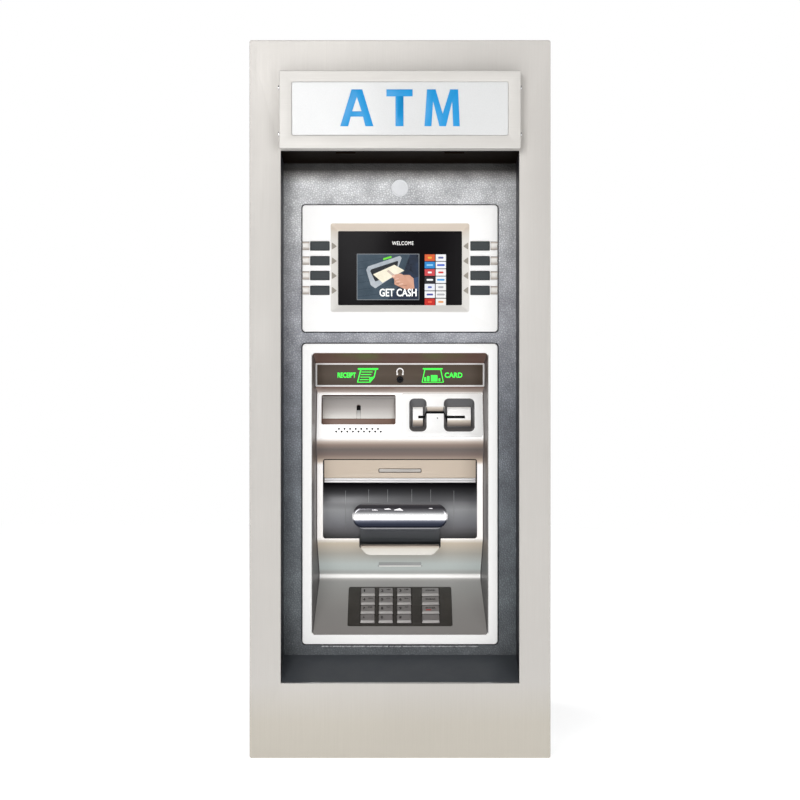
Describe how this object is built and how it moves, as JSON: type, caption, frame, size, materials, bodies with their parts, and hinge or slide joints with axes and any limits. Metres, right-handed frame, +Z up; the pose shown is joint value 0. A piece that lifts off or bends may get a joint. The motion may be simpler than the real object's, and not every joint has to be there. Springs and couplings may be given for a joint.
{
  "type": "through-the-wall cash machine",
  "caption": "Through-the-wall cash machine: steel surround with lit sign, screen with side keys, receipt and card slots, cash outlet, sloping keypad, rear cabinet and safe.",
  "frame": {"origin": "centre of the bounding box's footprint, on the floor", "axes": "+X to the user's right, -Y towards the user, +Z up"},
  "size_m": [0.52, 0.8122, 1.24],
  "materials": {
    "surround_steel": "satin, straight grain",
    "sign_steel": "satin",
    "sign_acrylic": "diffusing, glossy",
    "lamp_board": "plain",
    "liner_black": "satin black",
    "trim_grey": "embossed, satin",
    "camera_white": "glossy",
    "bezel_white": "fine satin",
    "display_black": "glossy",
    "soft_key_grey": "satin",
    "header_brown": "glossy",
    "black_plastic": "satin",
    "flap_clear": "glossy",
    "machine_grey": "satin",
    "paper": "uncoated paper",
    "visor_beige": "satin",
    "drum_dark": "semi-gloss",
    "lip_chrome": "mirror polish",
    "tray_cream": "satin",
    "keypad_dark": "satin",
    "key_metal": "satin",
    "cabinet_grey": "fine texture",
    "door_grey": "fine texture",
    "bright_steel": "polished",
    "safe_grey": "fine texture",
    "dial_black": "glossy",
    "galvanised": "spangled",
    "cassette_blue": "satin",
    "computer_black": "satin"
  },
  "bodies": {
    "housing": {"surround": "surround_steel", "recess_liner": "liner_black", "sign_housing": "sign_steel", "sign_lens": "sign_acrylic", "sign_lamp": "lamp_board", "trim_panel": "trim_grey", "camera": "camera_white", "screen_bezel": "bezel_white", "display": "display_black", "fascia_body": "bezel_white", "header_panel": "header_brown", "headphone_jack": "black_plastic", "receipt_printer": "machine_grey", "card_bezel": "bezel_white", "card_reader": "machine_grey", "outlet_visor": "visor_beige", "outlet_drum": "drum_dark", "cash_lip": "lip_chrome", "cash_tray": "tray_cream", "keypad_body": "keypad_dark", "cabinet": "cabinet_grey", "safe_body": "safe_grey", "dispenser": "galvanised", "computer": "computer_black", "hinge_pins": "bright_steel", "screws": "bright_steel"},
    "key_1_body": {"key_1": "key_metal"},
    "key_2_body": {"key_2": "key_metal"},
    "key_3_body": {"key_3": "key_metal"},
    "key_4_body": {"key_4": "key_metal"},
    "key_5_body": {"key_5": "key_metal"},
    "key_6_body": {"key_6": "key_metal"},
    "key_7_body": {"key_7": "key_metal"},
    "key_8_body": {"key_8": "key_metal"},
    "key_9_body": {"key_9": "key_metal"},
    "key_star_body": {"key_star": "key_metal"},
    "key_0_body": {"key_0": "key_metal"},
    "key_hash_body": {"key_hash": "key_metal"},
    "key_cancel_body": {"key_cancel": "key_metal"},
    "key_clear_body": {"key_clear": "key_metal"},
    "key_enter_body": {"key_enter": "key_metal"},
    "key_blank_body": {"key_blank": "key_metal"},
    "soft_key_left_1_body": {"soft_key_left_1": "soft_key_grey"},
    "soft_key_left_2_body": {"soft_key_left_2": "soft_key_grey"},
    "soft_key_left_3_body": {"soft_key_left_3": "soft_key_grey"},
    "soft_key_left_4_body": {"soft_key_left_4": "soft_key_grey"},
    "soft_key_right_1_body": {"soft_key_right_1": "soft_key_grey"},
    "soft_key_right_2_body": {"soft_key_right_2": "soft_key_grey"},
    "soft_key_right_3_body": {"soft_key_right_3": "soft_key_grey"},
    "soft_key_right_4_body": {"soft_key_right_4": "soft_key_grey"},
    "receipt_flap_body": {"receipt_flap": "flap_clear"},
    "paper_roll_body": {"paper_roll": "paper"},
    "cash_shutter_body": {"cash_shutter": "black_plastic"},
    "cassette_body": {"cassette": "cassette_blue"},
    "rear_door_body": {"rear_door": "door_grey"},
    "door_lock_body": {"door_lock": "bright_steel"},
    "safe_door_body": {"safe_door": "safe_grey"},
    "safe_handle_body": {"safe_handle": "bright_steel"},
    "safe_dial_body": {"safe_dial": "dial_black"},
    "safe_bolts_body": {"safe_bolts": "bright_steel"}
  },
  "joints": [
    {"name": "key_1_press", "type": "slide", "parent": "housing", "child": "key_1_body", "axis": [0, 0.5441, -0.839], "range_m": [0, 0.002], "stiffness_N_per_m": 400, "springref_m": -0.0015},
    {"name": "key_2_press", "type": "slide", "parent": "housing", "child": "key_2_body", "axis": [0, 0.5441, -0.839], "range_m": [0, 0.002], "stiffness_N_per_m": 400, "springref_m": -0.0015},
    {"name": "key_3_press", "type": "slide", "parent": "housing", "child": "key_3_body", "axis": [0, 0.5441, -0.839], "range_m": [0, 0.002], "stiffness_N_per_m": 400, "springref_m": -0.0015},
    {"name": "key_4_press", "type": "slide", "parent": "housing", "child": "key_4_body", "axis": [0, 0.5441, -0.839], "range_m": [0, 0.002], "stiffness_N_per_m": 400, "springref_m": -0.0015},
    {"name": "key_5_press", "type": "slide", "parent": "housing", "child": "key_5_body", "axis": [0, 0.5441, -0.839], "range_m": [0, 0.002], "stiffness_N_per_m": 400, "springref_m": -0.0015},
    {"name": "key_6_press", "type": "slide", "parent": "housing", "child": "key_6_body", "axis": [0, 0.5441, -0.839], "range_m": [0, 0.002], "stiffness_N_per_m": 400, "springref_m": -0.0015},
    {"name": "key_7_press", "type": "slide", "parent": "housing", "child": "key_7_body", "axis": [0, 0.5441, -0.839], "range_m": [0, 0.002], "stiffness_N_per_m": 400, "springref_m": -0.0015},
    {"name": "key_8_press", "type": "slide", "parent": "housing", "child": "key_8_body", "axis": [0, 0.5441, -0.839], "range_m": [0, 0.002], "stiffness_N_per_m": 400, "springref_m": -0.0015},
    {"name": "key_9_press", "type": "slide", "parent": "housing", "child": "key_9_body", "axis": [0, 0.5441, -0.839], "range_m": [0, 0.002], "stiffness_N_per_m": 400, "springref_m": -0.0015},
    {"name": "key_star_press", "type": "slide", "parent": "housing", "child": "key_star_body", "axis": [0, 0.5441, -0.839], "range_m": [0, 0.002], "stiffness_N_per_m": 400, "springref_m": -0.0015},
    {"name": "key_0_press", "type": "slide", "parent": "housing", "child": "key_0_body", "axis": [0, 0.5441, -0.839], "range_m": [0, 0.002], "stiffness_N_per_m": 400, "springref_m": -0.0015},
    {"name": "key_hash_press", "type": "slide", "parent": "housing", "child": "key_hash_body", "axis": [0, 0.5441, -0.839], "range_m": [0, 0.002], "stiffness_N_per_m": 400, "springref_m": -0.0015},
    {"name": "key_cancel_press", "type": "slide", "parent": "housing", "child": "key_cancel_body", "axis": [0, 0.5441, -0.839], "range_m": [0, 0.002], "stiffness_N_per_m": 400, "springref_m": -0.0015},
    {"name": "key_clear_press", "type": "slide", "parent": "housing", "child": "key_clear_body", "axis": [0, 0.5441, -0.839], "range_m": [0, 0.002], "stiffness_N_per_m": 400, "springref_m": -0.0015},
    {"name": "key_enter_press", "type": "slide", "parent": "housing", "child": "key_enter_body", "axis": [0, 0.5441, -0.839], "range_m": [0, 0.002], "stiffness_N_per_m": 400, "springref_m": -0.0015},
    {"name": "key_blank_press", "type": "slide", "parent": "housing", "child": "key_blank_body", "axis": [0, 0.5441, -0.839], "range_m": [0, 0.002], "stiffness_N_per_m": 400, "springref_m": -0.0015},
    {"name": "soft_key_left_1_press", "type": "slide", "parent": "housing", "child": "soft_key_left_1_body", "axis": [0, 1, 0], "range_m": [0, 0.002], "stiffness_N_per_m": 400, "springref_m": -0.0015},
    {"name": "soft_key_left_2_press", "type": "slide", "parent": "housing", "child": "soft_key_left_2_body", "axis": [0, 1, 0], "range_m": [0, 0.002], "stiffness_N_per_m": 400, "springref_m": -0.0015},
    {"name": "soft_key_left_3_press", "type": "slide", "parent": "housing", "child": "soft_key_left_3_body", "axis": [0, 1, 0], "range_m": [0, 0.002], "stiffness_N_per_m": 400, "springref_m": -0.0015},
    {"name": "soft_key_left_4_press", "type": "slide", "parent": "housing", "child": "soft_key_left_4_body", "axis": [0, 1, 0], "range_m": [0, 0.002], "stiffness_N_per_m": 400, "springref_m": -0.0015},
    {"name": "soft_key_right_1_press", "type": "slide", "parent": "housing", "child": "soft_key_right_1_body", "axis": [0, 1, 0], "range_m": [0, 0.002], "stiffness_N_per_m": 400, "springref_m": -0.0015},
    {"name": "soft_key_right_2_press", "type": "slide", "parent": "housing", "child": "soft_key_right_2_body", "axis": [0, 1, 0], "range_m": [0, 0.002], "stiffness_N_per_m": 400, "springref_m": -0.0015},
    {"name": "soft_key_right_3_press", "type": "slide", "parent": "housing", "child": "soft_key_right_3_body", "axis": [0, 1, 0], "range_m": [0, 0.002], "stiffness_N_per_m": 400, "springref_m": -0.0015},
    {"name": "soft_key_right_4_press", "type": "slide", "parent": "housing", "child": "soft_key_right_4_body", "axis": [0, 1, 0], "range_m": [0, 0.002], "stiffness_N_per_m": 400, "springref_m": -0.0015},
    {"name": "receipt_flap_hinge", "type": "hinge", "parent": "housing", "child": "receipt_flap_body", "pos_m": [-0.0752, -0.19277, 0.62373], "axis": [-1, 0, 0], "range_deg": [0, 65]},
    {"name": "paper_roll_spin", "type": "hinge", "parent": "housing", "child": "paper_roll_body", "pos_m": [-0.0752, -0.016, 0.64], "axis": [1, 0, 0], "continuous": true},
    {"name": "cash_shutter_turn", "type": "hinge", "parent": "housing", "child": "cash_shutter_body", "pos_m": [0, -0.124, 0.425], "axis": [-1, 0, 0], "range_deg": [0, 30]},
    {"name": "cassette_slide", "type": "slide", "parent": "housing", "child": "cassette_body", "axis": [0, 1, 0], "range_m": [0, 0.045]},
    {"name": "rear_door_hinge", "type": "hinge", "parent": "housing", "child": "rear_door_body", "pos_m": [-0.228, 0.3685, 0.85], "axis": [0, 0, 1], "range_deg": [0, 110]},
    {"name": "door_lock_turn", "type": "hinge", "parent": "rear_door_body", "child": "door_lock_body", "pos_m": [0.185, 0.3685, 0.85], "axis": [0, 1, 0], "range_deg": [0, 90]},
    {"name": "safe_door_hinge", "type": "hinge", "parent": "housing", "child": "safe_door_body", "pos_m": [-0.228, 0.3685, 0.25], "axis": [0, 0, 1], "range_deg": [0, 110]},
    {"name": "safe_handle_turn", "type": "hinge", "parent": "safe_door_body", "child": "safe_handle_body", "pos_m": [0.06, 0.3685, 0.25], "axis": [0, 1, 0], "range_deg": [0, 60]},
    {"name": "safe_dial_turn", "type": "hinge", "parent": "safe_door_body", "child": "safe_dial_body", "pos_m": [0.06, 0.3685, 0.36], "axis": [0, 1, 0], "continuous": true},
    {"name": "safe_bolts_throw", "type": "slide", "parent": "safe_door_body", "child": "safe_bolts_body", "axis": [1, 0, 0], "range_m": [0, 0.02]}
  ],
  "couplings": [
    {"joint": "safe_bolts_throw", "follows": "safe_handle_turn", "m_per_rad": 0.019098}
  ]
}
